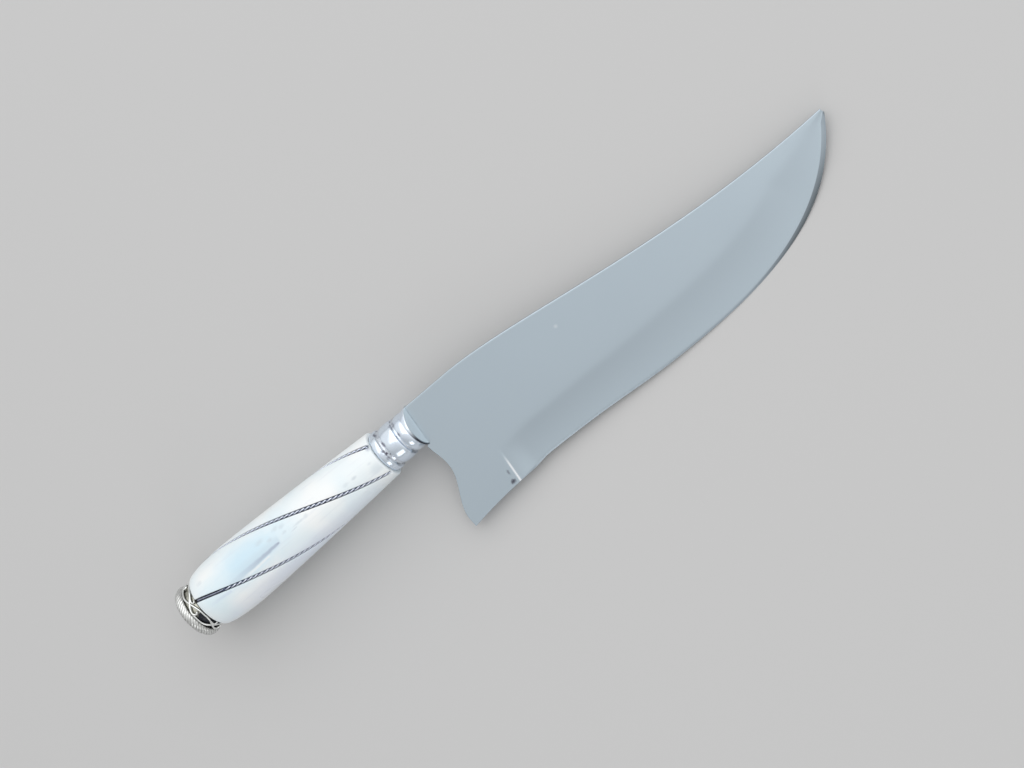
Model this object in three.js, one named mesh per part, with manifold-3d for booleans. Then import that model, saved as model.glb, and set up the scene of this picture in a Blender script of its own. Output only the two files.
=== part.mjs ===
// Carving knife: a hollow-ground blade on a stick tang, a turned bolster, a bone handle inlaid
// with four spiral wires, and a filigree pommel drawn up by a nut on the end of the tang.
// It is drawn on the handle's axis: +X from the bolster's front face to the tip, +Y to the spine
// and +Z out of the blade's side. All sizes are millimetres.
import * as THREE from 'three';
import { mergeVertices } from 'three/addons/utils/BufferGeometryUtils.js';
import Module from 'manifold-3d';

const wasm = await Module();
wasm.setup();
const { lerp, smoothstep, degToRad } = THREE.MathUtils;

// Clearance between neighbouring pieces
const fit = 0.3;

// Blade outline, measured from the bolster's face and from the handle's axis
const bladeLength = 216.4;
const tipDrop = 8.8;
const spineRise = 9.15;
const spineRun = 24.5; // straight stretch of the spine
const spineShoulder = 40.6; // how far the straight spine carries into its fall
const shoulderDrop = 1.35;
const spineSag = 80.7; // how far before the tip the spine levels out
const sagDrop = 1.12; // how far the levelled spine lies under the tip
const heelSetback = 8.3;
const heelDrop = 50.2;
const heelFlat = 4.2; // upright stretch above the heel corner
const choilTop = 22; // where the back edge leaves the bolster's plane
const bellyAt = 118;
const bellyDrop = 49.2;
const bellyReach = 51; // pull of the belly on both sides
const recurveAt = 30;
const recurveDrop = 42; // pull that lifts the edge behind the belly
const tipSweep = 32.4;
const tipAngle = degToRad(60.4);

// Blade sections
const stock = 2.6;
const tipStock = 1.8; // the blade thins towards its point
const thinsFrom = 0.72; // share of the blade where it starts to thin
const spineChamfer = 0.35;
const grindWidth = 17; // height of the hollow grind above the edge
const grindPower = 1.7; // 1 would be a flat grind, more is hollower
const grindTipShare = 0.58; // most of the blade's height that the grind takes near the tip
const plungeAt = 18.5;
const plungeRun = 3;
const edgeBand = 0.5; // sharpened band at the heel
const tipBand = 1.9; // sharpened band from the belly to the tip
const bandGrows = [0.45, 0.8]; // shares of the blade between which the band widens
const edgeThickness = 0.56; // behind the sharpened band
const edgeLand = 0.08;
const tipLand = 0.25; // flat left at the point

// Tang
const tangWidth = 9;
const tangEndWidth = 6.5;
const tangThickness = 2.2;
const tangLength = 84;
const tangRoot = 6; // overlap with the blade
const studRadius = 2.5;
const studLap = 8; // overlap of the stud on the tang

// Bolster, from the handle to the blade
const ringRadius = 10;
const ringWidth = 3.4;
const coveRadius = 8.5;
const coveWidth = 1.8;
const beadRadius = 9.5;
const beadWidth = 6.6;
const grooveRadius = 7.7;
const grooveWidth = 1.1;
const noseRadius = 9.1;
const noseWidth = 4.6;
const faceRadius = 8.6;
const faceWidth = 1.2;
const beadFullness = 0.6; // 1 is a sine bead, less is squarer
const ringFoot = 0.6; // share of the cove's depth at which the rear ring stands

// Handle
const handleLength = 107.8;
const handleFrontRadius = 11.3;
const handleSwellRadius = 15.4;
const handleSwellAt = 87; // from the front end
const swellPower = 1.25; // 1 is a straight taper up to the swell
const handleRearRadius = 12.9;
const handleFrontRound = 0.7;
const boreRadius = 6.3;

// Spiral wires
const wireOffsets = [0, 84, 180, 276].map((angle) => degToRad(angle)); // round the handle, from the first
const wireFrontAngle = degToRad(19.9); // between a wire and the handle's length
const wireRearAngle = degToRad(16.3);
const wireStart = degToRad(44.2); // first wire at the bolster, from +Z towards the edge
const wireDiameter = 1.3; // over both strands
const wireLay = 5.4; // length of one full twist
const strandShare = 0.59; // thickness of one strand against both
const wireFrontInset = 0.8;
const wireRearInset = 2.6;

// Pommel
const spacerThickness = 0.8;
const cupRadius = 10.9;
const cupWall = 1.1;
const cupFloor = 2.2;
const washerRadius = 6.5;
const washerThickness = 1;
const nutFlats = 8.5;
const nutThickness = 2.8;
const plateThickness = 2.1;
const plateDome = 0.5;
const strandDiameter = 0.9;
const strandWeave = 0.3; // rise of a falling scroll over the next one
const filigreeLift = 0.9; // filigree in front of the cup
const scrollCount = 5;
const scrollStart = degToRad(-23.4); // middle of the first scroll's rise, from +Z towards the edge
const curlRadius = 1.45; // curl that ends each scroll
const curlTurn = degToRad(150);
const hookRadius = 0.85; // curl that ends the tendril of each scroll
const hookTurn = degToRad(170);
const hookDip = 1.1; // how far a tendril dips from the handle before it curls
const hookShare = 0.8; // thickness of a tendril against a strand
const windIn = 0.3; // share of its radius that a curl winds in

// Lengths along a scroll, from the middle of its rise, as shares of the spacing of two scrolls
const leadShare = 0.8; // run along the rope before the middle of the rise
const riseShare = 0.82;
const fallStart = 0.62; // here the tendril leaves
const fallShare = 0.62;
const fallDepth = 0.95; // of the height that the scroll rose
const hookAt = 0.96; // where the tendril starts to curl

// Rope round the butt
const ropeRadius = 12.9;
const ropeWidth = 4.3;
const ropeDepth = 0.42; // cut between two turns of the rope
const ropeTurns = 48;
const ropeSlant = degToRad(8); // lean of each turn across half the rope
const ropeShoulder = [0.8, 0.62]; // shoulder of the rope's section, as shares of half width and height

// Facets
const roundSides = 32;
const bladeSteps = 24;
const tangSides = 20;
const swellSteps = 18;
const rearSteps = 6;
const arcSteps = 5; // between two wires
const wireStepsPerLay = 5;
const strandSteps = 22;
const curlSteps = 8;
const hookSteps = 5;
const strandSides = 5;
const flatRows = [0.7, 0.4, 0.2]; // heights on the flat above the grind
const grindRows = [1, 0.8, 0.6, 0.4, 0.2, 0]; // heights down the hollow grind

// Stations along the axis, from the bolster's face back to the butt
const bolsterRear = -(ringWidth + coveWidth + beadWidth + grooveWidth + noseWidth + faceWidth);
const handleFront = bolsterRear - fit;
const handleRear = handleFront - handleLength;
const spacerFront = handleRear - fit;
const cupFront = spacerFront - spacerThickness - fit;
const washerFront = cupFront - cupFloor - fit;
const nutFront = washerFront - washerThickness - fit;
const nutRear = nutFront - nutThickness;
const plateFront = nutRear - fit;
const cupRear = plateFront - plateThickness;
const ropeMiddle = cupRear + ropeWidth / 2;
const filigreeRear = cupRear + ropeWidth + fit;
const filigreeMiddle = (filigreeRear + cupFront + filigreeLift) / 2;
const filigreeSwing = (cupFront + filigreeLift - filigreeRear - strandDiameter) / 2;
const filigreeRadius = cupRadius + fit + strandDiameter / 2;
const scrollSpacing = (2 * Math.PI * filigreeRadius) / scrollCount;
const wireSink = wireDiameter / 2; // wires lie flush with the bone
const wireGrooveDepth = wireDiameter + fit;
const wireGrooveWidth = wireDiameter + 2 * fit;

const steel = () => new THREE.MeshStandardMaterial({ color: 0xb4bec6, roughness: 0.28, metalness: 1 });
const silver = () => new THREE.MeshStandardMaterial({ color: 0xdfe3ea, roughness: 0.12, metalness: 1 });
const agedSilver = () => new THREE.MeshStandardMaterial({ color: 0xb9b4a8, roughness: 0.35, metalness: 1 });
const darkSilver = () => new THREE.MeshStandardMaterial({ color: 0x45464a, roughness: 0.5, metalness: 1 });
const bone = () => new THREE.MeshStandardMaterial({ color: 0xeef2f3, roughness: 0.35, metalness: 0 });
const resin = () => new THREE.MeshStandardMaterial({ color: 0x5b4330, roughness: 0.6, metalness: 0 });
const fibre = () => new THREE.MeshStandardMaterial({ color: 0x1d1c1e, roughness: 0.8, metalness: 0 });

const flat = (x, y) => new THREE.Vector2(x, y);

// A point on a circle round the axis; the angle runs from +Z towards the edge
function around(x, radius, angle) {
  return new THREE.Vector3(x, -radius * Math.sin(angle), radius * Math.cos(angle));
}

// A skin through rings that turn right-handed about the way they travel. Open ends are closed
// across the section ('strip') or to its middle ('fan'); a 'loop' joins its last ring to its first.
function loft(rings, ends) {
  const n = rings[0].length;
  const points = rings.flat();
  const index = [];
  const spans = ends === 'loop' ? rings.length : rings.length - 1;
  for (let i = 0; i < spans; i++) {
    const here = i * n;
    const next = ((i + 1) % rings.length) * n;
    for (let j = 0; j < n; j++) {
      const k = (j + 1) % n;
      index.push(here + j, here + k, next + k, here + j, next + k, next + j);
    }
  }
  const last = (rings.length - 1) * n;
  if (ends === 'strip') {
    for (let j = 0; j < n / 2 - 1; j++) {
      const k = n - 1 - j;
      index.push(j, k, k - 1, j, k - 1, j + 1);
      index.push(last + j, last + k - 1, last + k, last + j, last + j + 1, last + k - 1);
    }
  }
  if (ends === 'fan') {
    const start = points.length;
    points.push(middle(rings[0]), middle(rings.at(-1)));
    for (let j = 0; j < n; j++) {
      const k = (j + 1) % n;
      index.push(start, k, j, start + 1, last + j, last + k);
    }
  }
  const geometry = new THREE.BufferGeometry().setFromPoints(points);
  geometry.setIndex(index);
  return geometry;
}

function middle(points) {
  const sum = points.reduce((total, point) => total.add(point), new THREE.Vector3());
  return sum.divideScalar(points.length);
}

// Carries a section along points that lie round the axis. section(i) lists offsets [out, across].
function sweep(points, section, ends) {
  const count = points.length;
  const rings = points.map((point, i) => {
    const before = ends === 'loop' ? points.at(i - 1) : points[Math.max(i - 1, 0)];
    const after = ends === 'loop' ? points[(i + 1) % count] : points[Math.min(i + 1, count - 1)];
    const along = after.clone().sub(before).normalize();
    const out = new THREE.Vector3(0, point.y, point.z);
    out.addScaledVector(along, -out.dot(along)).normalize();
    const across = along.clone().cross(out);
    return section(i).map(([o, a]) => point.clone().addScaledVector(out, o).addScaledVector(across, a));
  });
  return loft(rings, ends);
}

// Offsets of a regular section with the given number of sides
function roundSection(diameter, sides) {
  return Array.from({ length: sides }, (_, i) => {
    const angle = (2 * Math.PI * i) / sides;
    return [(diameter / 2) * Math.cos(angle), (diameter / 2) * Math.sin(angle)];
  });
}

// Turns a profile of (radius, station) pairs round the axis
function turn(profile, sides = roundSides) {
  const points = profile.map(([radius, station]) => flat(radius, station));
  return new THREE.LatheGeometry(points, sides).rotateZ(-Math.PI / 2);
}

// A ring of rectangular section
function washer(inner, outer, rear, front) {
  return turn([[inner, rear], [outer, rear], [outer, front], [inner, front], [inner, rear]]);
}

function rod(radius, rear, front, sides = roundSides) {
  return turn([[0, rear], [radius, rear], [radius, front], [0, front]], sides);
}

function solid(geometry) {
  const bare = geometry.clone();
  bare.deleteAttribute('normal');
  bare.deleteAttribute('uv');
  const merged = mergeVertices(bare, 1e-4);
  const corners = merged.index.array;
  const triVerts = [];
  for (let i = 0; i < corners.length; i += 3) {
    const [a, b, c] = corners.slice(i, i + 3);
    if (a !== b && b !== c && c !== a) {
      triVerts.push(a, b, c);
    }
  }
  const vertProperties = new Float32Array(merged.attributes.position.array);
  const mesh = new wasm.Mesh({ numProp: 3, vertProperties, triVerts: new Uint32Array(triVerts) });
  return new wasm.Manifold(mesh);
}

function skin(body) {
  const mesh = body.getMesh();
  const geometry = new THREE.BufferGeometry();
  geometry.setAttribute('position', new THREE.BufferAttribute(mesh.vertProperties, 3));
  geometry.setIndex(new THREE.BufferAttribute(mesh.triVerts, 1));
  return geometry;
}

function join(...shapes) {
  return skin(shapes.map(solid).reduce((whole, shape) => whole.add(shape)));
}

function cut(shape, ...tools) {
  return skin(tools.map(solid).reduce((rest, tool) => rest.subtract(tool), solid(shape)));
}

// Blade

function spineCurve() {
  const path = new THREE.CurvePath();
  const end = flat(spineRun, spineRise);
  const fall = flat(spineRun + spineShoulder, spineRise - shoulderDrop);
  const level = flat(bladeLength - spineSag, -tipDrop - sagDrop);
  path.add(new THREE.LineCurve(flat(fit, spineRise), end));
  path.add(new THREE.CubicBezierCurve(end, fall, level, flat(bladeLength, -tipDrop)));
  return path;
}

function edgeCurve() {
  const path = new THREE.CurvePath();
  const heel = flat(-heelSetback, -heelDrop);
  const belly = flat(bellyAt, -bellyDrop);
  const tip = flat(bladeLength, -tipDrop);
  const sweepIn = flat(tip.x - tipSweep * Math.cos(tipAngle), tip.y - tipSweep * Math.sin(tipAngle));
  const lift = flat(recurveAt, -recurveDrop);
  path.add(new THREE.CubicBezierCurve(heel, lift, flat(bellyAt - bellyReach, -bellyDrop), belly));
  path.add(new THREE.CubicBezierCurve(belly, flat(bellyAt + bellyReach, -bellyDrop), sweepIn, tip));
  return path;
}

// The back edge runs down the bolster's plane, then sweeps back to the heel
function backEdge(y) {
  return lerp(fit, -heelSetback, smoothstep(-y, choilTop, heelDrop - heelFlat));
}

// One side of a section as pairs of height above the edge and half thickness, spine first
function bladeSide(half, height, band, grind, ground) {
  const side = [[height, half - spineChamfer], [height - spineChamfer, half]];
  for (const share of flatRows) {
    side.push([lerp(grind, height - spineChamfer, share), half]);
  }
  for (const share of grindRows) {
    const hollow = lerp(edgeThickness / 2, half, share ** grindPower);
    side.push([lerp(band, grind, share), lerp(half, hollow, ground)]);
  }
  side.push([0, lerp(half, edgeLand / 2, ground)]);
  return side;
}

function bladeSection(spine, edge, s, plunge, plungeEnd) {
  const top = spine.getPoint(s);
  const foot = edge.getPoint(s);
  const height = top.distanceTo(foot);
  const grind = Math.min(grindWidth, height * grindTipShare);
  const band = Math.min(lerp(edgeBand, tipBand, smoothstep(s, ...bandGrows)), grind / 4);
  const fade = Math.max(1 - s / plunge, 0) ** 2;
  const thick = lerp(stock, tipStock, smoothstep(s, thinsFrom, 1));
  const side = bladeSide(thick / 2, height, band, grind, smoothstep(s, plunge, plungeEnd));
  const points = side.map(([rise, half]) => {
    const share = rise / height;
    const place = foot.clone().lerp(top, share);
    const start = edge.getPoint(0).lerp(spine.getPoint(0), share);
    return new THREE.Vector3(place.x + fade * (backEdge(start.y) - start.x), place.y, half);
  });
  const mirrored = points.map((point) => new THREE.Vector3(point.x, point.y, -point.z));
  return [...points, ...mirrored.reverse()];
}

function bladeBody() {
  const spine = spineCurve();
  const edge = edgeCurve();
  const length = edge.getLength();
  const plunge = (heelSetback + plungeAt) / length;
  const plungeEnd = plunge + plungeRun / length;
  const stations = [0, 0.2, 0.4, 0.6, 0.8].map((share) => share * plunge);
  for (const share of [0, 0.25, 0.5, 0.75]) {
    stations.push(lerp(plunge, plungeEnd, share));
  }
  for (let i = 0; i < bladeSteps; i++) {
    stations.push(lerp(plungeEnd, 1, Math.sin((Math.PI / 2) * (i / bladeSteps))));
  }
  stations.push(1 - tipLand / length);
  return loft(stations.map((s) => bladeSection(spine, edge, s, plunge, plungeEnd)), 'strip');
}

function tangBar(grow) {
  const root = tangWidth / 2 + grow;
  const end = tangEndWidth / 2 + grow;
  const rear = -tangLength - grow;
  const outline = [flat(tangRoot, root), flat(rear, end), flat(rear, -end), flat(tangRoot, -root)];
  const depth = tangThickness + 2 * grow;
  const bar = new THREE.ExtrudeGeometry(new THREE.Shape(outline), { depth, bevelEnabled: false });
  return bar.translate(0, 0, -depth / 2);
}

const tangStud = (grow) => rod(studRadius + grow, nutRear - grow, studLap - tangLength + grow, tangSides);

// Bolster

// Half-round bead between two stations, standing on a foot radius
function bead(rear, width, foot, crest, steps = 5) {
  return Array.from({ length: steps + 1 }, (_, i) => {
    const angle = (Math.PI * i) / steps;
    return [lerp(foot, crest, Math.sin(angle) ** beadFullness), rear + (width / 2) * (1 - Math.cos(angle))];
  });
}

function bolsterBody() {
  const cove = bolsterRear + ringWidth;
  const middleBead = cove + coveWidth;
  const groove = middleBead + beadWidth;
  const nose = groove + grooveWidth;
  const face = nose + noseWidth;
  const profile = [
    [0, bolsterRear],
    ...bead(bolsterRear, ringWidth, lerp(coveRadius, ringRadius, ringFoot), ringRadius, 4),
    [coveRadius, cove + coveWidth / 3],
    ...bead(middleBead, beadWidth, coveRadius, beadRadius, 6),
    ...bead(nose, noseWidth, grooveRadius, noseRadius),
    [faceRadius, face + faceWidth / 3],
    [faceRadius, 0],
    [0, 0],
  ];
  return cut(turn(profile), tangBar(fit));
}

// Handle

function handleRadius(u) {
  if (u < handleSwellAt) {
    const rise = handleSwellRadius - handleFrontRadius;
    const share = u / handleSwellAt;
    return handleSwellRadius - rise * (1 - share) ** swellPower;
  }
  const share = Math.min((u - handleSwellAt) / (handleLength - handleSwellAt), 1);
  return lerp(handleRearRadius, handleSwellRadius, Math.sqrt(1 - share * share));
}

// Angle between a wire and the handle's length, which eases towards the rear
function wireLean(u) {
  return lerp(wireFrontAngle, wireRearAngle, u / handleLength);
}

// Turn of a wire from the handle's front end
function wireTurn(u, steps = 60) {
  let turned = 0;
  for (let i = 0; i < steps; i++) {
    const here = (u * (i + 0.5)) / steps;
    turned += (u / steps) * (Math.tan(wireLean(here)) / handleRadius(here));
  }
  return -turned;
}

// A round section with a groove for each wire, twisted as the wires are
function handleRing(u, radius) {
  const ring = [];
  const x = handleFront - u;
  const lip = wireGrooveWidth / 2 / Math.cos(wireLean(u)) / radius;
  const deep = radius - wireGrooveDepth;
  wireOffsets.forEach((offset, wire) => {
    const centre = wireStart + offset + wireTurn(u);
    const next = wireOffsets[wire + 1] ?? wireOffsets[0] + 2 * Math.PI;
    ring.push(around(x, radius, centre - lip), around(x, deep, centre - lip));
    ring.push(around(x, deep, centre + lip), around(x, radius, centre + lip));
    for (let i = 1; i < arcSteps; i++) {
      ring.push(around(x, radius, lerp(centre + lip, centre + next - offset - lip, i / arcSteps)));
    }
  });
  return ring;
}

function handleBody() {
  const rings = [handleRing(0, handleFrontRadius - handleFrontRound)];
  for (let i = 0; i < swellSteps; i++) {
    const u = lerp(handleFrontRound, handleSwellAt, i / swellSteps);
    rings.push(handleRing(u, handleRadius(u)));
  }
  for (let i = 0; i <= rearSteps; i++) {
    const u = lerp(handleSwellAt, handleLength, Math.sin((Math.PI / 2) * (i / rearSteps)));
    rings.push(handleRing(u, handleRadius(u)));
  }
  return cut(loft(rings.reverse(), 'fan'), rod(boreRadius, handleRear - fit, handleFront + fit, tangSides));
}

// Two strands twisted together: a lozenge as long as both strands, turning along the wire
function spiralWire(offset) {
  const length = handleLength - wireFrontInset - wireRearInset;
  const steps = Math.round((length / Math.cos(wireFrontAngle) / wireLay) * wireStepsPerLay);
  const points = Array.from({ length: steps + 1 }, (_, i) => {
    const u = wireFrontInset + (length * i) / steps;
    return around(handleFront - u, handleRadius(u) - wireSink, wireStart + offset + wireTurn(u));
  });
  const long = wireDiameter / 2;
  const short = long * strandShare;
  const section = (i) => {
    const turned = (-2 * Math.PI * i) / wireStepsPerLay;
    const [c, s] = [Math.cos(turned), Math.sin(turned)];
    return [[long * c, long * s], [-short * s, short * c], [-long * c, -long * s], [short * s, -short * c]];
  };
  return sweep(points, section, 'strip');
}

// Cutler's resin that beds the tang in the bore
function tangBed() {
  const sleeve = rod(boreRadius - fit, handleRear, handleFront, tangSides);
  return cut(sleeve, tangBar(fit), tangStud(fit));
}

// Pommel

function cupBody() {
  const inner = cupRadius - cupWall;
  const floorRear = cupFront - cupFloor;
  const hole = studRadius + fit;
  return turn([
    [hole, floorRear], [inner, floorRear], [inner, cupRear], [cupRadius, cupRear],
    [cupRadius, cupFront], [hole, cupFront], [hole, floorRear],
  ]);
}

function endPlate() {
  const radius = cupRadius - cupWall - fit;
  const rear = cupRear + plateDome;
  const slope = [radius / 2, cupRear + plateDome / 4];
  return turn([[0, cupRear], slope, [radius, rear], [radius, plateFront], [0, plateFront]]);
}

function tangNut() {
  const corner = nutFlats / 2 / Math.cos(Math.PI / 6);
  const outline = new THREE.Shape();
  for (let i = 0; i < 6; i++) {
    const angle = (i * Math.PI) / 3;
    outline[i ? 'lineTo' : 'moveTo'](corner * Math.cos(angle), corner * Math.sin(angle));
  }
  outline.holes.push(new THREE.Path().absarc(0, 0, studRadius + fit, 0, 2 * Math.PI));
  const shape = { depth: nutThickness, bevelEnabled: false, curveSegments: tangSides / 2 };
  const hex = new THREE.ExtrudeGeometry(outline, shape);
  return hex.rotateY(Math.PI / 2).translate(nutRear, 0, 0);
}

// A place on the filigree: arc along the band, lift towards the handle and rise off the cup
function bandPoint(arc, lift, rise) {
  return around(filigreeMiddle + lift, filigreeRadius + rise, scrollStart + arc / filigreeRadius);
}

// Lift of a scroll along the band: it leaves the rope, runs along the handle and falls back
function scrollLift(arc) {
  const share = arc / scrollSpacing;
  const rise = smoothstep(share, -riseShare / 2, riseShare / 2);
  const fall = smoothstep(share, fallStart, fallStart + fallShare);
  return filigreeSwing * (2 * rise - 2 * fallDepth * fall - 1);
}

// Points that wind inwards from the rear of a circle, towards the next scroll
function windPoints(arc, lift, radius, turned, rise) {
  return Array.from({ length: curlSteps + 1 }, (_, i) => {
    const share = i / curlSteps;
    const angle = -Math.PI / 2 + turned * share;
    const r = radius * (1 - windIn * share);
    return bandPoint(arc + r * Math.cos(angle), lift + radius + r * Math.sin(angle), rise);
  });
}

// A strand that runs from the rope to its curl, lying over the next scroll where it falls
function scroll(start) {
  const first = -leadShare * scrollSpacing;
  const last = (fallStart + fallShare) * scrollSpacing;
  const run = Array.from({ length: strandSteps }, (_, i) => {
    const arc = lerp(first, last, i / strandSteps);
    const over = smoothstep(arc / scrollSpacing, fallStart - fallShare / 2, fallStart);
    return bandPoint(start + arc, scrollLift(arc), strandWeave * over);
  });
  const curl = windPoints(start + last, scrollLift(last), curlRadius, curlTurn, strandWeave);
  const section = roundSection(strandDiameter, strandSides);
  return sweep([...run, ...curl], () => section, 'fan');
}

// A tendril that leaves a scroll where it falls, dips along the handle and curls forward
function hook(start) {
  const first = fallStart * scrollSpacing;
  const last = hookAt * scrollSpacing;
  const dipped = (arc) => scrollLift(first) - hookDip * smoothstep(arc, first, last);
  const run = Array.from({ length: hookSteps }, (_, i) => {
    const arc = lerp(first, last, i / hookSteps);
    return bandPoint(start + arc, dipped(arc), strandWeave);
  });
  const curl = windPoints(start + last, dipped(last), hookRadius, hookTurn, strandWeave);
  const section = roundSection(strandDiameter * hookShare, strandSides);
  return sweep([...run, ...curl], () => section, 'fan');
}

function filigreeBody() {
  const pieces = [];
  for (let i = 0; i < scrollCount; i++) {
    pieces.push(scroll(i * scrollSpacing), hook(i * scrollSpacing));
  }
  return join(...pieces);
}

// Twisted rim: high and low sections by turns, leaning from front to back
function ropeBody() {
  const inner = cupRadius + fit;
  const half = ropeWidth / 2;
  const side = half * ropeShoulder[0];
  const rings = Array.from({ length: 2 * ropeTurns }, (_, i) => {
    const angle = (Math.PI * i) / ropeTurns;
    const outer = ropeRadius - (i % 2) * ropeDepth;
    const shoulder = lerp(inner, outer, ropeShoulder[1]);
    return [
      around(ropeMiddle, outer, angle),
      around(ropeMiddle - side, shoulder, angle - ropeSlant),
      around(ropeMiddle - half, inner, angle - ropeSlant),
      around(ropeMiddle + half, inner, angle + ropeSlant),
      around(ropeMiddle + side, shoulder, angle + ropeSlant),
    ];
  });
  return loft(rings, 'loop');
}

const knife = new THREE.Group();

function add(name, geometry, material) {
  geometry.computeVertexNormals();
  const mesh = new THREE.Mesh(geometry, material);
  mesh.name = name;
  knife.add(mesh);
}

add('blade', join(bladeBody(), tangBar(0), tangStud(0)), steel());
add('bolster', bolsterBody(), silver());
add('handle', handleBody(), bone());
wireOffsets.forEach((offset, wire) => add(`spiral_wire_${wire + 1}`, spiralWire(offset), silver()));
add('tang_bed', tangBed(), resin());
add('rear_spacer', washer(studRadius + fit, cupRadius, cupFront + fit, spacerFront), fibre());
add('pommel_cup', cupBody(), darkSilver());
add('filigree_band', filigreeBody(), agedSilver());
add('rope_rim', ropeBody(), agedSilver());
add('end_plate', endPlate(), agedSilver());
add('tang_washer', washer(studRadius + fit, washerRadius, nutFront + fit, washerFront), steel());
add('tang_nut', tangNut(), steel());

// The knife lies on its side with the origin under the middle of its box
const box = new THREE.Box3().setFromObject(knife);
const centre = box.getCenter(new THREE.Vector3());
knife.position.set(-centre.x, -centre.y, -box.min.z);

export default knife;
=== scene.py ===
from math import pi, radians

import bmesh
import bpy
import numpy as np
from mathutils import Matrix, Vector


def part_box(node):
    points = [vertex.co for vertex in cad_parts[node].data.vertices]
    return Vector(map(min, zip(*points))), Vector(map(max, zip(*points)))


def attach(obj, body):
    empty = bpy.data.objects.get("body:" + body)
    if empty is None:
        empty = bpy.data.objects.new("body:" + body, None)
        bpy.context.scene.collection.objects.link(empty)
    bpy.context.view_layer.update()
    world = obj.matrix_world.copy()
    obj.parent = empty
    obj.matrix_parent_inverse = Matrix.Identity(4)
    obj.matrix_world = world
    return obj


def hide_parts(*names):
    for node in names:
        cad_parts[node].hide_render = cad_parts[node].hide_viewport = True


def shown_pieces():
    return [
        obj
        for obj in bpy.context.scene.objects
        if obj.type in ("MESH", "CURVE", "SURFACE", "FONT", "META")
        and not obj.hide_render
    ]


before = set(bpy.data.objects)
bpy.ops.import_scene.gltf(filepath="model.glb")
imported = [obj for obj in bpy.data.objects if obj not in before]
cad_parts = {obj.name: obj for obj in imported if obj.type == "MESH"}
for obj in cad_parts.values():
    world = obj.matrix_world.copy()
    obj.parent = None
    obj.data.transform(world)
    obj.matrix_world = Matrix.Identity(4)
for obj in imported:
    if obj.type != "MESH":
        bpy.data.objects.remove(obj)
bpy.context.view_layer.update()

mm = 0.001
fit = 0.3  # clearance between neighbouring pieces
latheSides = 128
low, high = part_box("bolster")
knifeOrigin = np.array([high.x, (low.y + high.y) / 2, (low.z + high.z) / 2])


# knife millimetres to the frame's metres
def place(points):
    return knifeOrigin + mm * np.asarray(points, float)


def mix(a, b, share):
    return a + (b - a) * share


# smooth step from 0 to 1 between two limits
def ease(x, start, end):
    share = np.clip((x - start) / (end - start), 0, 1)
    return share * share * (3 - 2 * share)


def unit(vectors):
    return vectors / np.linalg.norm(vectors, axis=-1, keepdims=True)


# angles of evenly spaced points round a circle
def circle(sides):
    return 2 * pi * np.arange(sides) / sides


# cubic curve between the first and last of four corners, pulled by the two in the middle
def bezier(corners, count=400):
    a, b, c, d = np.asarray(corners, float)
    t = np.linspace(0, 1, count)[:, None]
    return (1 - t) ** 3 * a + 3 * (1 - t) ** 2 * t * b + 3 * (1 - t) * t * t * c + t ** 3 * d


# length run so far at each point of a path
def runLengths(path):
    return np.r_[0, np.cumsum(np.linalg.norm(np.diff(path, axis=0), axis=1))]


# points at the given shares of a path's length
def alongPath(path, shares):
    run = runLengths(path)
    return np.stack([np.interp(shares * run[-1], run, column) for column in path.T], -1)


# place at a radius round the handle's axis: the angle runs from +z towards the edge
def around(x, radius, angle):
    return np.stack(np.broadcast_arrays(x, -radius * np.sin(angle), radius * np.cos(angle)), -1)


# profile rows of (x, radius) turned round the axis: each row becomes a ring
def turned(profile, sides=latheSides):
    return around(profile[:, :1], profile[:, 1:], circle(sides)[None, :])


# round section carried along a path about the axis: each ring lies across the path, and starts at
# the side that faces away from the axis
def tube(path, radius, sides):
    along = unit(np.gradient(path, axis=0))
    out = path * [0, 1, 1]
    out = unit(out - along * np.sum(out * along, axis=1, keepdims=True))
    across = np.cross(along, out)
    angle = circle(sides)[None, :, None]
    ring = np.cos(angle) * out[:, None] + np.sin(angle) * across[:, None]
    return path[:, None] + radius[:, None, None] * ring


# radius along a strand that is rounded off at both ends: a circle's height over the last radius
def roundedEnds(path, radius, least=0.25):
    run = runLengths(path)
    fromEnd = np.minimum(run, run[-1] - run) / radius
    return radius * np.sqrt(1 - (1 - np.clip(fromEnd, 0, 1)) ** 2 * (1 - least ** 2))


# rings (count, sides, 3) joined into faces. An open end is closed by one face ("cap") or across the
# section ("strip"), and a "loop" joins the last ring to the first. Marks are values at the points.
def skin(rings, ends, **marks):
    count, sides = rings.shape[:2]
    index = np.arange(count * sides).reshape(count, sides)
    here, there = index, np.roll(index, -1, 0)
    if ends != "loop":
        here, there = here[:-1], there[:-1]
    faces = [np.stack([here, np.roll(here, -1, 1), np.roll(there, -1, 1), there], -1).reshape(-1, 4)]
    if ends == "cap":
        faces += [index[:1, ::-1], index[-1:]]
    if ends == "strip":
        j = np.arange(sides // 2 - 1)
        k = sides - 1 - j
        faces += [np.stack([ring[j], ring[k], ring[k - 1], ring[j + 1]], -1) for ring in index[[0, -1]]]
    values = {name: np.broadcast_to(value, (count, sides)).ravel() for name, value in marks.items()}
    return {"points": rings.reshape(-1, 3), "faces": faces, "marks": values}


def addObject(name, data):
    made = bpy.data.objects.new(name, data)
    bpy.context.scene.collection.objects.link(made)
    return made


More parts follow.
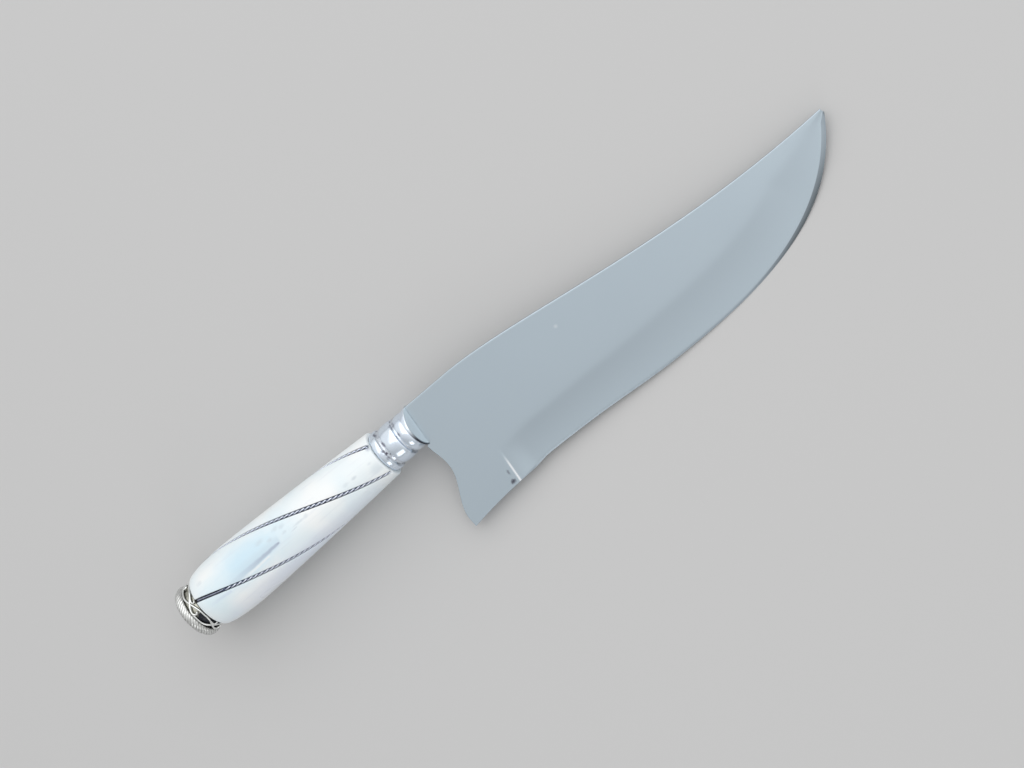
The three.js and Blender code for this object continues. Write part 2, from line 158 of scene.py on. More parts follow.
# one object from closed skins, standing for CAD nodes and riding on the knife's only body
def makePiece(name, skins, material, replaced, sharpAngle=35):
    starts = np.cumsum([0] + [len(part["points"]) for part in skins])
    points = place(np.concatenate([part["points"] for part in skins]))
    faces = []
    for part, start in zip(skins, starts):
        for block in part["faces"]:
            faces += (block + start).tolist()
    mesh = bpy.data.meshes.new(name)
    mesh.from_pydata(points.tolist(), [], faces)
    for mark in skins[0]["marks"]:
        values = np.concatenate([part["marks"][mark] for part in skins]).astype(np.float32)
        mesh.attributes.new(mark, "FLOAT", "POINT").data.foreach_set("value", values)
    outward = bmesh.new()
    outward.from_mesh(mesh)
    bmesh.ops.recalc_face_normals(outward, faces=outward.faces)
    outward.to_mesh(mesh)
    outward.free()
    mesh.shade_smooth()
    mesh.set_sharp_from_angle(angle=radians(sharpAngle))
    mesh.materials.append(material)
    piece = addObject(name, mesh)
    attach(piece, "root")
    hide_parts(*replaced)
    print(f"{name}: {len(points)} points, {len(faces)} faces")


# Finishes. A socket's id_data is its node tree, so helpers work in the tree of what they get.

# link a socket to another one, or set its value
def feed(socket, value):
    if isinstance(value, bpy.types.NodeSocket):
        socket.id_data.links.new(value, socket)
    else:
        socket.default_value = value


def addNode(tree, kind, inputs=None, **settings):
    node = tree.nodes.new(kind)
    for key, value in settings.items():
        setattr(node, key, value)
    for key, value in (inputs or {}).items():
        feed(node.inputs[key], value)
    return node


def calc(operation, a, b=0.0):
    return addNode(a.id_data, "ShaderNodeMath", {0: a, 1: b}, operation=operation).outputs[0]


def vectorCalc(operation, a, b):
    node = addNode(a.id_data, "ShaderNodeVectorMath", {0: a, 1: b}, operation=operation)
    return node.outputs["Value" if operation == "DOT_PRODUCT" else "Vector"]


def noise(vector, scale, detail=3.0):
    inputs = {"Vector": vector, "Scale": scale, "Detail": detail}
    return addNode(vector.id_data, "ShaderNodeTexNoise", inputs).outputs


# colour between two others, by a mask
def blendColour(mask, *colours):
    first, second = [(*value, 1) if isinstance(value, tuple) else value for value in colours]
    inputs = {0: mask, 6: first, 7: second}
    return addNode(mask.id_data, "ShaderNodeMix", inputs, data_type="RGBA").outputs[2]


# colours laid over a ground one after the other: rows of mask, colour and weight
def layOver(colour, layers):
    for mask, tint, weight in layers:
        colour = blendColour(calc("MULTIPLY", mask, weight), colour, tint)
    return colour


# value range stretched to another one
def stretchTo(value, fromLow, fromHigh, toLow, toHigh, kind="LINEAR"):
    inputs = {"Value": value, "From Min": fromLow, "From Max": fromHigh, "To Min": toLow, "To Max": toHigh}
    return addNode(value.id_data, "ShaderNodeMapRange", inputs, interpolation_type=kind).outputs["Result"]


# the same by a smooth step
def easeTo(value, fromLow, fromHigh, toLow=0.0, toHigh=1.0):
    return stretchTo(value, fromLow, fromHigh, toLow, toHigh, "SMOOTHSTEP")


# node group by the names of its vector inputs, number inputs and outputs
def newGroup(name, vectors, numbers, outputs):
    group = bpy.data.node_groups.new(name, "ShaderNodeTree")
    rows = ((vectors, "INPUT", "Vector"), (numbers, "INPUT", "Float"), (outputs, "OUTPUT", "Float"))
    for sockets, side, kind in rows:
        for socket in sockets:
            group.interface.new_socket(socket, in_out=side, socket_type=f"NodeSocket{kind}")
    source = group.nodes.new("NodeGroupInput").outputs
    return group, source, group.nodes.new("NodeGroupOutput").inputs


def useGroup(group, spot, inputs):
    return addNode(spot.id_data, "ShaderNodeGroup", {"Vector": spot, **inputs}, node_tree=group).outputs


# lengths are in metres here, as the shaders read them
marking = dict(
    noiseSpan=(0.3, 0.7), stainCore=0.85, grainWeight=0.35, rubbedBump=(0.08, 0.0001),
    streakRipple=320.0, streakWobble=0.0008, streakCore=0.3, streakStart=0.04, nearSide=(-0.012, -0.006),
)


# fine lines left by polishing, stretched along one axis, and soft cloudy smudges
def polishMarksGroup():
    vectors, outputs = ["Vector", "Line Scale"], ["Lines", "Smudges"]
    group, source, result = newGroup("polish_marks", vectors, ["Smudge Scale"], outputs)
    scaled = vectorCalc("MULTIPLY", source["Vector"], source["Line Scale"])
    feed(result["Lines"], noise(scaled, 1.0)["Fac"])
    feed(result["Smudges"], noise(source["Vector"], source["Smudge Scale"], detail=2.0)["Fac"])
    return group


# soft mark round a centre: an ellipsoid of the given half sizes with a ragged rim
def stainGroup():
    vectors, numbers = ["Vector", "Centre", "Size"], ["Ragged", "Ripple Scale"]
    group, source, result = newGroup("stain", vectors, numbers, ["Mask"])
    inputs = {"Vector": source["Vector"], "Location": source["Centre"], "Scale": source["Size"]}
    local = addNode(group, "ShaderNodeMapping", inputs, vector_type="TEXTURE").outputs[0]
    ripple = noise(source["Vector"], source["Ripple Scale"])["Color"]
    shift = vectorCalc("MULTIPLY", vectorCalc("SUBTRACT", ripple, (0.5, 0.5, 0.5)), source["Ragged"])
    moved = vectorCalc("ADD", local, shift)
    ball = addNode(group, "ShaderNodeTexGradient", {"Vector": moved}, gradient_type="SPHERICAL")
    feed(result["Mask"], easeTo(ball.outputs["Fac"], 0.0, marking["stainCore"]))
    return group


# dark film that stays in the low places of worked metal and is rubbed off its crests
def tarnishGroup():
    numbers = ["Crest", "Rubbed From", "Rubbed To", "Grain Scale"]
    group, source, result = newGroup("tarnish", ["Vector"], numbers, ["Mask"])
    grain = noise(source["Vector"], source["Grain Scale"])["Fac"]
    uneven = calc("MULTIPLY", calc("SUBTRACT", grain, 0.5), marking["grainWeight"])
    height = calc("ADD", source["Crest"], uneven)
    feed(result["Mask"], easeTo(height, source["Rubbed From"], source["Rubbed To"], 1.0, 0.0))
    return group


# mark that runs back along the grain from a sharp front end: how far a point lies back sets the mark's
# half width, and how far it lies aside, against that width, sets how much of the mark shows
def streakGroup():
    numbers = ["Length", "Drift", "Front Width", "Rear Width", "Hold"]
    group, source, result = newGroup("streak", ["Vector", "Front"], numbers, ["Mask"])
    offset = vectorCalc("SUBTRACT", source["Vector"], source["Front"])
    part = addNode(group, "ShaderNodeSeparateXYZ", {0: offset}).outputs
    ripple = noise(source["Vector"], marking["streakRipple"])["Fac"]
    wobble = calc("MULTIPLY", calc("SUBTRACT", ripple, 0.5), marking["streakWobble"])
    back = calc("DIVIDE", calc("MULTIPLY", part["X"], -1.0), source["Length"])
    middle = calc("MULTIPLY", back, source["Drift"])
    aside = calc("ABSOLUTE", calc("ADD", calc("SUBTRACT", part["Y"], middle), wobble))
    width = stretchTo(back, 0.0, 1.0, source["Front Width"], source["Rear Width"])
    mask = easeTo(calc("DIVIDE", aside, width), marking["streakCore"], 1.0, 1.0, 0.0)
    starts = easeTo(back, 0.0, marking["streakStart"])
    fades = easeTo(back, source["Hold"], 1.0, 1.0, 0.0)
    nearSide = stretchTo(part["Z"], *marking["nearSide"], 0.0, 1.0)
    for share in (starts, fades, nearSide):
        mask = calc("MULTIPLY", mask, share)
    feed(result["Mask"], mask)
    return group


polishMarks = polishMarksGroup()
stain = stainGroup()
streak = streakGroup()
tarnish = tarnishGroup()


# material with one Principled shader; gives it with its shader and object coordinates
def newFinish(name, **constants):
    material = bpy.data.materials.new(name)
    material.use_nodes = True
    tree = material.node_tree
    tree.nodes.clear()
    values = {key.replace("_", " "): value for key, value in constants.items()}
    shader = addNode(tree, "ShaderNodeBsdfPrincipled", values)
    addNode(tree, "ShaderNodeOutputMaterial", {"Surface": shader.outputs[0]})
    return material, shader, addNode(tree, "ShaderNodeTexCoord").outputs["Object"]


def polishAt(spot, f):
    return useGroup(polishMarks, spot, {"Line Scale": f["lines"], "Smudge Scale": f["smudges"]})


# stain with half sizes in millimetres; the rim is how ragged it is and the scale of its ripple
def stainAt(spot, centre, size, rim=(0.3, 260.0)):
    inputs = {"Centre": centre, "Size": np.array(size) * mm, "Ragged": rim[0], "Ripple Scale": rim[1]}
    return useGroup(stain, spot, inputs)["Mask"]


def markOf(shader, name):
    return addNode(shader.id_data, "ShaderNodeAttribute", attribute_name=name).outputs["Fac"]


# dark film by the mark "crest", between the limits of the rubbed height
def filmOn(shader, spot, f):
    start, end = f["rubbed"]
    crest = markOf(shader, "crest")
    inputs = {"Crest": crest, "Rubbed From": start, "Rubbed To": end, "Grain Scale": f["grain"]}
    return useGroup(tarnish, spot, inputs)["Mask"]


# colour, and roughness between two limits by a noise
def dress(shader, colour, height, limits):
    feed(shader.inputs["Base Color"], colour)
    feed(shader.inputs["Roughness"], stretchTo(height, *marking["noiseSpan"], *limits))


def bump(shader, height, strength, distance):
    inputs = {"Height": height, "Strength": strength, "Distance": distance}
    feed(shader.inputs["Normal"], addNode(height.id_data, "ShaderNodeBump", inputs).outputs[0])


# Bolster

bolster = dict(
    ringRadius=10, ringWidth=3.4, ringFoot=9.4, coveRadius=8.8, coveWidth=1.8,
    beadRadius=9.5, beadWidth=6.6, grooveRadius=8.05, grooveWidth=1.1,
    noseRadius=9.1, noseWidth=4.6, faceRadius=8.8, faceWidth=1.2, faceLap=0.1,
    coveSteps=((0.5, 0.06), (1.0, -0.02)), grooveSteps=((0.35, 0.2), (0.7, 0)),  # run, rise
    faceReach=1.3, faceSlant=0.117, faceFall=1.6, facePower=1.3, faceTall=1.12,
    fullness=0.72, slotHalf=(4.8, 1.4), rimBreak=(0, 0.0625, 0.25),
    # angles round the axis between which the front rim's lower half gets painted shade
    grimeStarts=(-8, 30), grimeEnds=(95, 115),
    sides=160, ringRows=28, beadRows=40, noseRows=34, noseCut=6, faceRows=9,
)
bolsterWidths = [bolster[part + "Width"] for part in ("ring", "cove", "bead", "groove", "nose", "face")]
bolsterRear = -sum(bolsterWidths)


# bead between two stations: a sine's power over half a turn, standing on a foot radius. The third column
# is the share of its height, which keeps the dark film in the low places.
def beadProfile(rear, width, foot, crest, count):
    angle = np.linspace(0, pi, count)
    share = np.sin(angle) ** bolster["fullness"]
    return np.stack([rear + width / 2 * (1 - np.cos(angle)), mix(foot, crest, share), share], -1)


# the front slants a little along the blade's root and falls off to both sides of it by a power
def faceAt(y, z):
    b = bolster
    thick = b["slotHalf"][1]
    away = np.clip((np.abs(z) - thick) / (b["faceRadius"] - thick), 0, 1)
    return b["faceReach"] + b["faceSlant"] * y - b["faceFall"] * away ** b["facePower"]


# Lathe profile from the handle to the nose, the front, then the tang's slot back to the rear face: each
# ring of the slot is the distance from the axis to the sides of a rectangle. The mark "crest" is high on
# the beads, "face" is 1 on the front, which takes a greyer tint as painted reflection of the blade, and the
# last mark holds painted shade on the lower half of its rim.
def bolsterSkin():
    b = bolster
    ring, cove, bead, groove, nose, face = np.cumsum([bolsterRear, *bolsterWidths[:-1]])
    profile = np.concatenate([
        beadProfile(ring, b["ringWidth"], b["ringFoot"], b["ringRadius"], b["ringRows"]),
        [[cove + run, b["coveRadius"] + rise, 0] for run, rise in b["coveSteps"]],
        beadProfile(bead, b["beadWidth"], b["coveRadius"], b["beadRadius"], b["beadRows"]),
        [[groove + run, b["grooveRadius"] + rise, 0] for run, rise in b["grooveSteps"]],
        beadProfile(nose, b["noseWidth"], b["grooveRadius"], b["noseRadius"], b["noseRows"])[:-b["noseCut"]],
        [[face + b["faceLap"], b["faceRadius"], 1]],
    ])
    angle = circle(b["sides"])[None, :]
    tall, thick = b["slotHalf"]
    with np.errstate(divide="ignore"):
        slotRadius = np.minimum(tall / np.abs(np.sin(angle)), thick / np.abs(np.cos(angle)))
    rimCurve = np.array(b["rimBreak"])[:, None]
    rimRadius = b["faceRadius"] - rimCurve + 0 * angle
    inwards = np.linspace(0, 1, b["faceRows"])[1:, None]
    front = around(0, np.concatenate([rimRadius, mix(rimRadius[-1:], slotRadius, inwards)]), angle)
    front[..., 1] *= mix(b["faceTall"], 1, np.concatenate([0 * rimCurve, inwards]))
    front[..., 0] = faceAt(front[..., 1], front[..., 2])
    front[:2, :, 0] -= rimCurve[:0:-1]
    slotEnd = around(bolsterRear, slotRadius, angle)
    rings = np.concatenate([turned(profile[:, :2], b["sides"]), front, slotEnd])

    rimRow = len(profile)
    crest = np.concatenate([profile[:, 2:], np.ones((len(front) + 1, 1))])
    # painted reflection: a greyer tint over the front; painted shade: a dark band on the lower half of its
    # rim
    faceReflectionMask, grime = np.zeros((2, *rings.shape[:2]))
    faceReflectionMask[rimRow + 1:-1] = 1
    lower = (np.degrees(angle[0]) + 180) % 360 - 180
    grime[rimRow - 1:rimRow + 3] = ease(lower, *b["grimeStarts"]) * (1 - ease(lower, *b["grimeEnds"]))
    return skin(rings, "loop", crest=crest, face=faceReflectionMask, grime=grime)


silverFinish = dict(
    # the front's tint is painted reflection of the blade, and the near-black rim colour is painted shade on
    # the lower half of the front rim
    silver=(0.83, 0.915, 0.975), cloud=(0.70, 0.785, 0.925), face=(0.80, 0.85, 0.88),
    film=(0.68, 0.73, 0.8), rubbed=(-0.1, 0.3), grain=900.0, grime=(0.03, 0.036, 0.05),
    metal=0.85, roughness=(0.15, 0.23), lines=(2600, 120, 120), smudges=160.0, bump=(0.02, 0.0001),
    speck=(0.1, 0.09, 0.13), speckScale=330.0, speckSpan=(0.55, 0.63), speckHeight=(0.1, 0.6),
    # dark blotches: x, angle, half length, half width, weight
    blotches=[
        (-15.4, -64, 1.1, 2.0, 0.8), (-13.6, -21, 1.2, 2.4, 0.8), (-15.6, -8, 1.2, 1.5, 0.95),
        (-15.7, 3, 1.1, 1.2, 0.85), (-15.8, 14, 1.3, 1.5, 0.85), (-5.6, -52, 1.1, 1.8, 0.65),
        (-5.5, -16, 1.1, 1.8, 0.75), (-7.2, -54, 0.8, 0.8, 0.5),
    ],
    blotchRim=(0.9, 900.0),
)


def polishedSilver():
    f = silverFinish
    material, shader, spot = newFinish("polished_silver", Metallic=f["metal"])
    marks = polishAt(spot, f)
    grains = useGroup(polishMarks, spot, {"Smudge Scale": f["speckScale"]})["Smudges"]
    lowPlaces = stretchTo(markOf(shader, "crest"), *f["speckHeight"], 1.0, 0.0)
    specks = calc("MULTIPLY", easeTo(grains, *f["speckSpan"]), lowPlaces)
    # the front's greyer tint is painted reflection of the blade
    layers = [(markOf(shader, "face"), f["face"], 1.0), (filmOn(shader, spot, f), f["film"], 1.0),
              (specks, f["speck"], 1.0)]
    for x, angle, long, wide, weight in f["blotches"]:
        centre = place(around(x, bolster["noseRadius"], radians(angle)))
        layers.append((stainAt(spot, centre, (long, wide, wide), f["blotchRim"]), f["speck"], weight))
    # painted shade: dark band on the lower half of the front rim
    layers.append((markOf(shader, "grime"), f["grime"], 1.0))
    ground = blendColour(marks["Smudges"], f["silver"], f["cloud"])
    dress(shader, layOver(ground, layers), marks["Smudges"], f["roughness"])
    bump(shader, marks["Lines"], *f["bump"])
    return material


makePiece("bolster_turned", [bolsterSkin()], polishedSilver(), ["bolster"])


# Blade

blade = dict(
    tip=(216.4, -7.7), tipBlunt=(0.6, 1.9),
    spineRun=(24.5, 9.2), spineShoulder=(41, 0.15), spineSag=(81.6, 3.6),
    heelSetback=9.2, heelDrop=50.2, heelFlat=4.2, choilTop=22,
    notchBack=1.6, notchSpan=(9.5, 20.5), rootEnd=(8.95, 10),
    belly=(118, -49.1), bellyReach=52, recurve=(33, -43.4), tipSweep=33, tipAngle=59,
    wear=1.0, wearStarts=(27, 38), wearEnds=(62, 105),
    stock=(2.6, 1.8), thinsFrom=0.72, spineBreak=0.32, cornerRoom=1.2,
    backGap=0.06, backBreak=0.25, breakFrom=(8.6, 11), breakShare=0.25,
    grindWidth=(16.5, 20), grindWidens=(0.2, 0.6), grindPower=2.2, grindTipShare=0.66,
    kneeSoft=0.2, kneeReach=1.6, hollowFades=(0.8, 1), hollowLeft=0.35,
    # the step's height span and strength give the painted highlight on the plunge
    plungeAt=19.2, plungeStep=1.5, plungeRun=12, stepShare=0.3, stepHeight=(8, 14), stepHighlight=0.75,
    bandWidth=(0.8, 2.3), bandGrows=(0.6, 0.9), bandTop=0.97, bandInner=0.6,
    # strength of the painted dark reflection on the sharpened band along the blade
    bandFaint=0.1, bandDarkens=(0.6, 0.8), bandTip=0.45, bandLightens=(0.84, 0.97),
    edgeThickness=0.56, edgeLand=0.08, landPower=4, tipLand=0.25,
    tangFront=4, tangWidth=(9, 6.5), tangThickness=2.2, tangLength=84, tangSquare=0.35,
    studRadius=2.5, studLap=8, studEnd=-134.8, studBreak=0.5,
    # sections up to the plunge, over its step, over its run and beyond
    sections=(26, 12, 18, 150),
    # points down the corner, flat, knee and hollow, and shares of the way that they lie at
    points=(6, 36, 26, 20), flatSpan=(0.98, 0.03), kneeShare=0.45, bandShares=(0.94, 0.5),
    spineRows=40, tangRows=30, tangSides=48, studSides=40,
)


# spine: a straight run and a cubic fall to the tip. Edge: one cubic from the heel to the belly and one
# from the belly up to the tip, lifted a little where sharpening has worn it.
def bladePaths():
    b = blade
    tip, runEnd, belly = np.array([b["tip"], b["spineRun"], b["belly"]])
    fall = runEnd + b["spineShoulder"]
    level = tip - b["spineSag"]
    blunt = b["tipBlunt"]
    straight = np.linspace([b["backGap"], runEnd[1]], runEnd, b["spineRows"], endpoint=False)
    spine = np.concatenate([straight, bezier([runEnd, fall, level, tip - [blunt[0], 0]])])
    reach = np.array([b["bellyReach"], 0])
    angle = radians(b["tipAngle"])
    edgeEnd = tip - [0, blunt[1]]
    sweep = edgeEnd - b["tipSweep"] * np.array([np.cos(angle), np.sin(angle)])
    heel = [-b["heelSetback"], -b["heelDrop"]]
    edge = np.concatenate([bezier([heel, b["recurve"], belly - reach, belly])[:-1],
                           bezier([belly, belly + reach, sweep, edgeEnd])])
    edge[:, 1] += b["wear"] * (ease(edge[:, 0], *b["wearStarts"]) - ease(edge[:, 0], *b["wearEnds"]))
    return spine, edge


# back edge at a height: on the bolster's slanting front, then under it, and swept round to the heel
def backEdge(y):
    b = blade
    root = bolster["faceReach"] + bolster["faceSlant"] * y + b["backGap"]
    sweep = -b["heelSetback"] * ease(-y, b["choilTop"], b["heelDrop"] - b["heelFlat"])
    choil = sweep - b["notchBack"] * (1 - ease(-y, *b["notchSpan"]))
    return mix(root, choil, ease(-y, *b["rootEnd"]))


# One section joins points of spine and edge at the same share of their lengths. Half its thickness is
# half the stock, less a hollow that deepens with a power of the way down the grind; a square root rounds
# the line where the hollow starts. At the plunge the hollow starts with a small step and deepens over a
# longer run. The mark "band" paints dark reflection on the sharpened band, darkest at the edge, and the
# second mark is a painted highlight along the plunge line.
def bladeSkin():
    b = blade
    spinePath, edgePath = bladePaths()
    length = runLengths(edgePath)[-1]
    plunge = (b["heelSetback"] + b["plungeAt"]) / length
    stepEnd = plunge + b["plungeStep"] / length
    plungeEnd = plunge + b["plungeRun"] / length
    last = 1 - b["tipLand"] / length
    heelCount, stepCount, plungeCount, mainCount = b["sections"]
    stations = np.r_[
        0, np.linspace(b["backBreak"] / length, plunge, heelCount, endpoint=False),
        np.linspace(plunge, stepEnd, stepCount, endpoint=False),
        np.linspace(stepEnd, plungeEnd, plungeCount, endpoint=False),
        mix(plungeEnd, last, np.sin(np.linspace(0, pi / 2, mainCount))),
    ]
    top, foot = alongPath(spinePath, stations), alongPath(edgePath, stations)
    s = stations[:, None]
    height = np.linalg.norm(top - foot, axis=1)[:, None]
    grind = np.minimum(mix(*b["grindWidth"], ease(s, *b["grindWidens"])), height * b["grindTipShare"])
    band = np.minimum(mix(*b["bandWidth"], ease(s, *b["bandGrows"])), grind / 2)
    half = mix(*b["stock"], ease(s, b["thinsFrom"], 1)) / 2
    corner = np.minimum(b["spineBreak"], height / 4)

    # heights above the edge, from the spine down: rounded corner, flat, knee, hollow, band
    cornerCount, flatCount, kneeCount, hollowCount = b["points"]
    turn = np.linspace(pi / 2, 0, cornerCount)[None, :]
    cornerRise = height - corner * (1 - np.sin(turn))
    kneeTop = np.minimum(mix(band, grind, b["kneeReach"]), height - b["cornerRoom"] * corner)
    flatRise = mix(kneeTop, height - corner, np.linspace(*b["flatSpan"], flatCount)[None, :])
    kneeShares = np.r_[np.linspace(1, b["kneeShare"], kneeCount, endpoint=False),
                       np.linspace(b["kneeShare"], 0, hollowCount)]
    grindRise = mix(band, kneeTop, kneeShares[None, :])
    bandRise = band * np.array([*b["bandShares"], b["breakShare"], 0])[None, :]
    rise = np.concatenate([cornerRise, flatRise, grindRise, bandRise], axis=1)

    depth = (half - b["edgeThickness"] / 2) * mix(1, b["hollowLeft"], ease(s, *b["hollowFades"]))
    way = np.clip((rise - band) / (grind - band), 0, None)
    over = depth * (1 - way ** b["grindPower"])
    hollow = (over + np.sqrt(over ** 2 + b["kneeSoft"] ** 2)) / 2
    hollow -= b["kneeSoft"] ** 2 / (4 * depth)
    ground = mix(ease(s, stepEnd, plungeEnd), ease(s, plunge, stepEnd), b["stepShare"])
    thickness = half - np.clip(hollow, 0, depth) * ground
    toEdge = np.clip(1 - rise / band, 0, 1)
    thickness = mix(thickness, b["edgeLand"] / 2, toEdge * ground ** b["landPower"])
    thickness -= (1 - ground) * b["backBreak"] * np.clip(1 - rise / (b["breakShare"] * band), 0, 1)
    thickness[:, :cornerCount] -= corner * (1 - np.cos(turn))

    # painted dark reflection on the sharpened band: faint near the heel, darkest past the middle, lighter at
    # the tip
    dark = mix(b["bandFaint"], 1, ease(s, *b["bandDarkens"]))
    dark *= mix(1, b["bandTip"], ease(s, *b["bandLightens"]))
    bandShade = (rise < b["bandTop"] * band) * dark * mix(b["bandInner"], 1, toEdge) * ground
    # painted highlight: a bright line over the plunge's small step, fading out between 8 and 14 mm above the
    # edge
    shine = np.sin(pi * np.clip((s - plunge) / (stepEnd - plunge), 0, 1)) ** 2
    shine = b["stepHighlight"] * shine * (1 - ease(rise, *b["stepHeight"]))

    share = (rise / height)[..., None]
    flatPoints = mix(foot[:, None], top[:, None], share)
    broken = b["backBreak"] * ease(-flatPoints[0, :, 1], *b["breakFrom"])
    thickness[0] = np.maximum(thickness[0] - broken, b["edgeLand"] / 2)
    start = mix(edgePath[0], spinePath[0], share)
    fade = np.clip(1 - s / plunge, 0, 1) ** 2
    x = flatPoints[..., 0] + fade * (backEdge(start[..., 1]) - start[..., 0])
    side = np.stack([x, flatPoints[..., 1], thickness], -1)
    rings = np.concatenate([side, side[:, ::-1] * [1, 1, -1]], axis=1)
    bandShade, shine = [np.concatenate([mark, mark[:, ::-1]], axis=1) for mark in (bandShade, shine)]
    return skin(rings, "strip", band=bandShade, shine=shine)


# tang: a rounded bar that narrows to the rear, and the stud that the nut draws on. The bar's section is
# an ellipse made squarer by a power below 1.
def tangSkins():
    b = blade
    x = np.linspace(b["tangFront"], -b["tangLength"], b["tangRows"])[:, None]
    angle = (circle(b["tangSides"]) + pi / b["tangSides"])[None, :]
    wide = mix(*b["tangWidth"], -x / b["tangLength"]) / 2
    waves = np.stack([np.sin(angle), np.cos(angle)])
    y, z = np.sign(waves) * np.abs(waves) ** b["tangSquare"]
    bar = np.stack(np.broadcast_arrays(x, wide * y, b["tangThickness"] / 2 * z), -1)
    r, cut, end, front = b["studRadius"], b["studBreak"], b["studEnd"], b["studLap"] - b["tangLength"]
    profile = np.array([[end, r - cut], [end + cut, r], [front - cut, r], [front, r - cut]])
    return [skin(shape, "cap", band=0.0, shine=0.0) for shape in (bar, turned(profile, b["studSides"]))]


bladeFinish = dict(
    # the near-black is painted dark reflection on the sharpened band, and the white on the next row is a
    # painted highlight on the plunge line
    steel=(0.543, 0.632, 0.70), cloud=(0.525, 0.612, 0.68), band=(0.13, 0.15, 0.165),
    shine=(0.97, 0.98, 0.99), roughness=(0.23, 0.27), lines=(90, 2600, 2600), smudges=26.0,
    speck=(0.8, 0.85, 0.88), speckAt=(76, -6, 1.3), speckSize=1.3, speckWeight=0.35,
    # painted dark reflection beside the plunge line: place, half sizes, weight
    plungeDarks=[((17.1, -45.3, 1.2), (2.1, 1.5, 2), 0.9), ((18.1, -40.9, 1.2), (0.8, 1.9, 2), 0.45)],
    plungeDark=(0.06, 0.055, 0.085), plungeDarkRim=(1.1, 900.0),
)


def bladeSteel():
    f = bladeFinish
    material, shader, spot = newFinish("blade_steel", Metallic=1.0)
    marks = polishAt(spot, f)
    speck = stainAt(spot, place(f["speckAt"]), [f["speckSize"]] * 3)
    layers = [(speck, f["speck"], f["speckWeight"])]
    # painted dark reflection beside the plunge line
    for centre, size, weight in f["plungeDarks"]:
        layers.append((stainAt(spot, place(centre), size, f["plungeDarkRim"]), f["plungeDark"], weight))
    # painted highlight on the plunge line and painted dark reflection on the sharpened band
    layers += [(markOf(shader, mark), f[mark], 1.0) for mark in ("shine", "band")]
    ground = blendColour(marks["Smudges"], f["steel"], f["cloud"])
    dress(shader, layOver(ground, layers), marks["Lines"], f["roughness"])
    return material


makePiece("blade_polished", [bladeSkin(), *tangSkins()], bladeSteel(), ["blade"], 30)


# Handle

handle = dict(
    length=107.8, frontRadius=11.3, swellRadius=15.31, swellAt=87, swellPower=1.25,
    rearRadius=12.9, frontRound=0.7, boreRadius=6.3,
    wireStart=44.2, wireOffsets=(0, 84, 180, 276), wireAngles=(19.9, 16.3),
    grooveWidth=1.75, grooveDepth=1.6, grooveDarkens=(0.6, 2.2),
    # a groove's lip: distance from its middle in half widths, and share of the depth there
    lipAt=(1.3, 1.15, 1.06, 1.0, 0.97, 0.93), lipSunk=(0, 0.015, 0.06, 0.16, 0.5, 1),
    rows=(7, 150, 44), columnsBetween=24, turnSteps=2000,
)
handleFront = bolsterRear - fit


# radius along the handle: a power taper up to the swell, then a quarter ellipse to the rear end
def handleRadius(u):
    h = handle
    toSwell = np.clip(1 - u / h["swellAt"], 0, 1)
    taper = h["swellRadius"] - (h["swellRadius"] - h["frontRadius"]) * toSwell ** h["swellPower"]
    past = np.clip((u - h["swellAt"]) / (h["length"] - h["swellAt"]), 0, 1)
    return np.where(u < h["swellAt"], taper, mix(h["rearRadius"], h["swellRadius"], np.sqrt(1 - past ** 2)))


# angle between a wire and the handle's length, easing towards the rear
def wireLean(u):
    return np.radians(mix(*handle["wireAngles"], u / handle["length"]))


# turn of a wire from the front end: the sum of tan(angle) / radius over the length
def wireTurn(u):
    steps = np.linspace(0, handle["length"], handle["turnSteps"])
    rate = np.tan(wireLean(steps)) / handleRadius(steps)
    turn = np.r_[0, np.cumsum((rate[1:] + rate[:-1]) / 2 * np.diff(steps))]
    return -np.interp(u, steps, turn)


# Rings round the axis, twisted as the wires are. Columns count from each groove's middle in groove half
# widths, with rounded lips and a flat floor, and arcs fill the bone between. Then the bore, back to front.
def handleSkin():
    h = handle
    offsets = np.radians(h["wireOffsets"])
    gaps = np.diff(offsets, append=offsets[0] + 2 * pi)[None, :, None]
    frontRows, swellRows, rearRows = h["rows"]
    u = np.r_[
        h["frontRound"] * (1 - np.cos(np.linspace(0, pi / 2, frontRows))),
        np.linspace(h["frontRound"], h["swellAt"], swellRows)[1:-1],
        mix(h["swellAt"], h["length"], np.sin(np.linspace(0, pi / 2, rearRows))),
    ][:, None]
    inset = h["frontRound"] * (1 - np.sqrt(1 - np.clip(1 - u / h["frontRound"], 0, 1) ** 2))
    radius = handleRadius(u) - inset
    halfWidth = (h["grooveWidth"] / np.cos(wireLean(u)) / 2 / radius)[..., None]

    lipAt, lipSunk = np.array(h["lipAt"]), np.array(h["lipSunk"])
    across = np.r_[-lipAt, 0, lipAt[::-1]]
    sunk = np.r_[lipSunk, 1, lipSunk[::-1]]
    between = np.linspace(0, 1, h["columnsBetween"] + 2)[1:-1]
    grooveAngle = np.repeat(across * halfWidth, len(offsets), axis=1)
    boneAngle = mix(across[-1] * halfWidth, gaps - across[-1] * halfWidth, between)
    depth = np.tile(np.r_[sunk, 0 * between], len(offsets))[None, :]
    turns = radians(h["wireStart"]) + wireTurn(u) + offsets
    angle = (turns[..., None] + np.concatenate([grooveAngle, boneAngle], axis=2)).reshape(len(u), -1)

    outside = around(handleFront - u, radius - h["grooveDepth"] * depth, angle)
    boreEnds = np.array([-1, 0])
    bore = around(handleFront - u[boreEnds], h["boreRadius"], angle[boreEnds])
    # painted shade: the groove walls and floor darken, from just behind the front end
    grooveShade = np.concatenate([depth * ease(u, *h["grooveDarkens"]), np.zeros((2, angle.shape[1]))])
    return skin(np.concatenate([outside, bore]), "loop", groove=grooveShade)


# place on the handle's surface, from x and the angle round the axis
def onHandle(x, angle):
    return place(around(x, handleRadius(handleFront - x), radians(angle)))


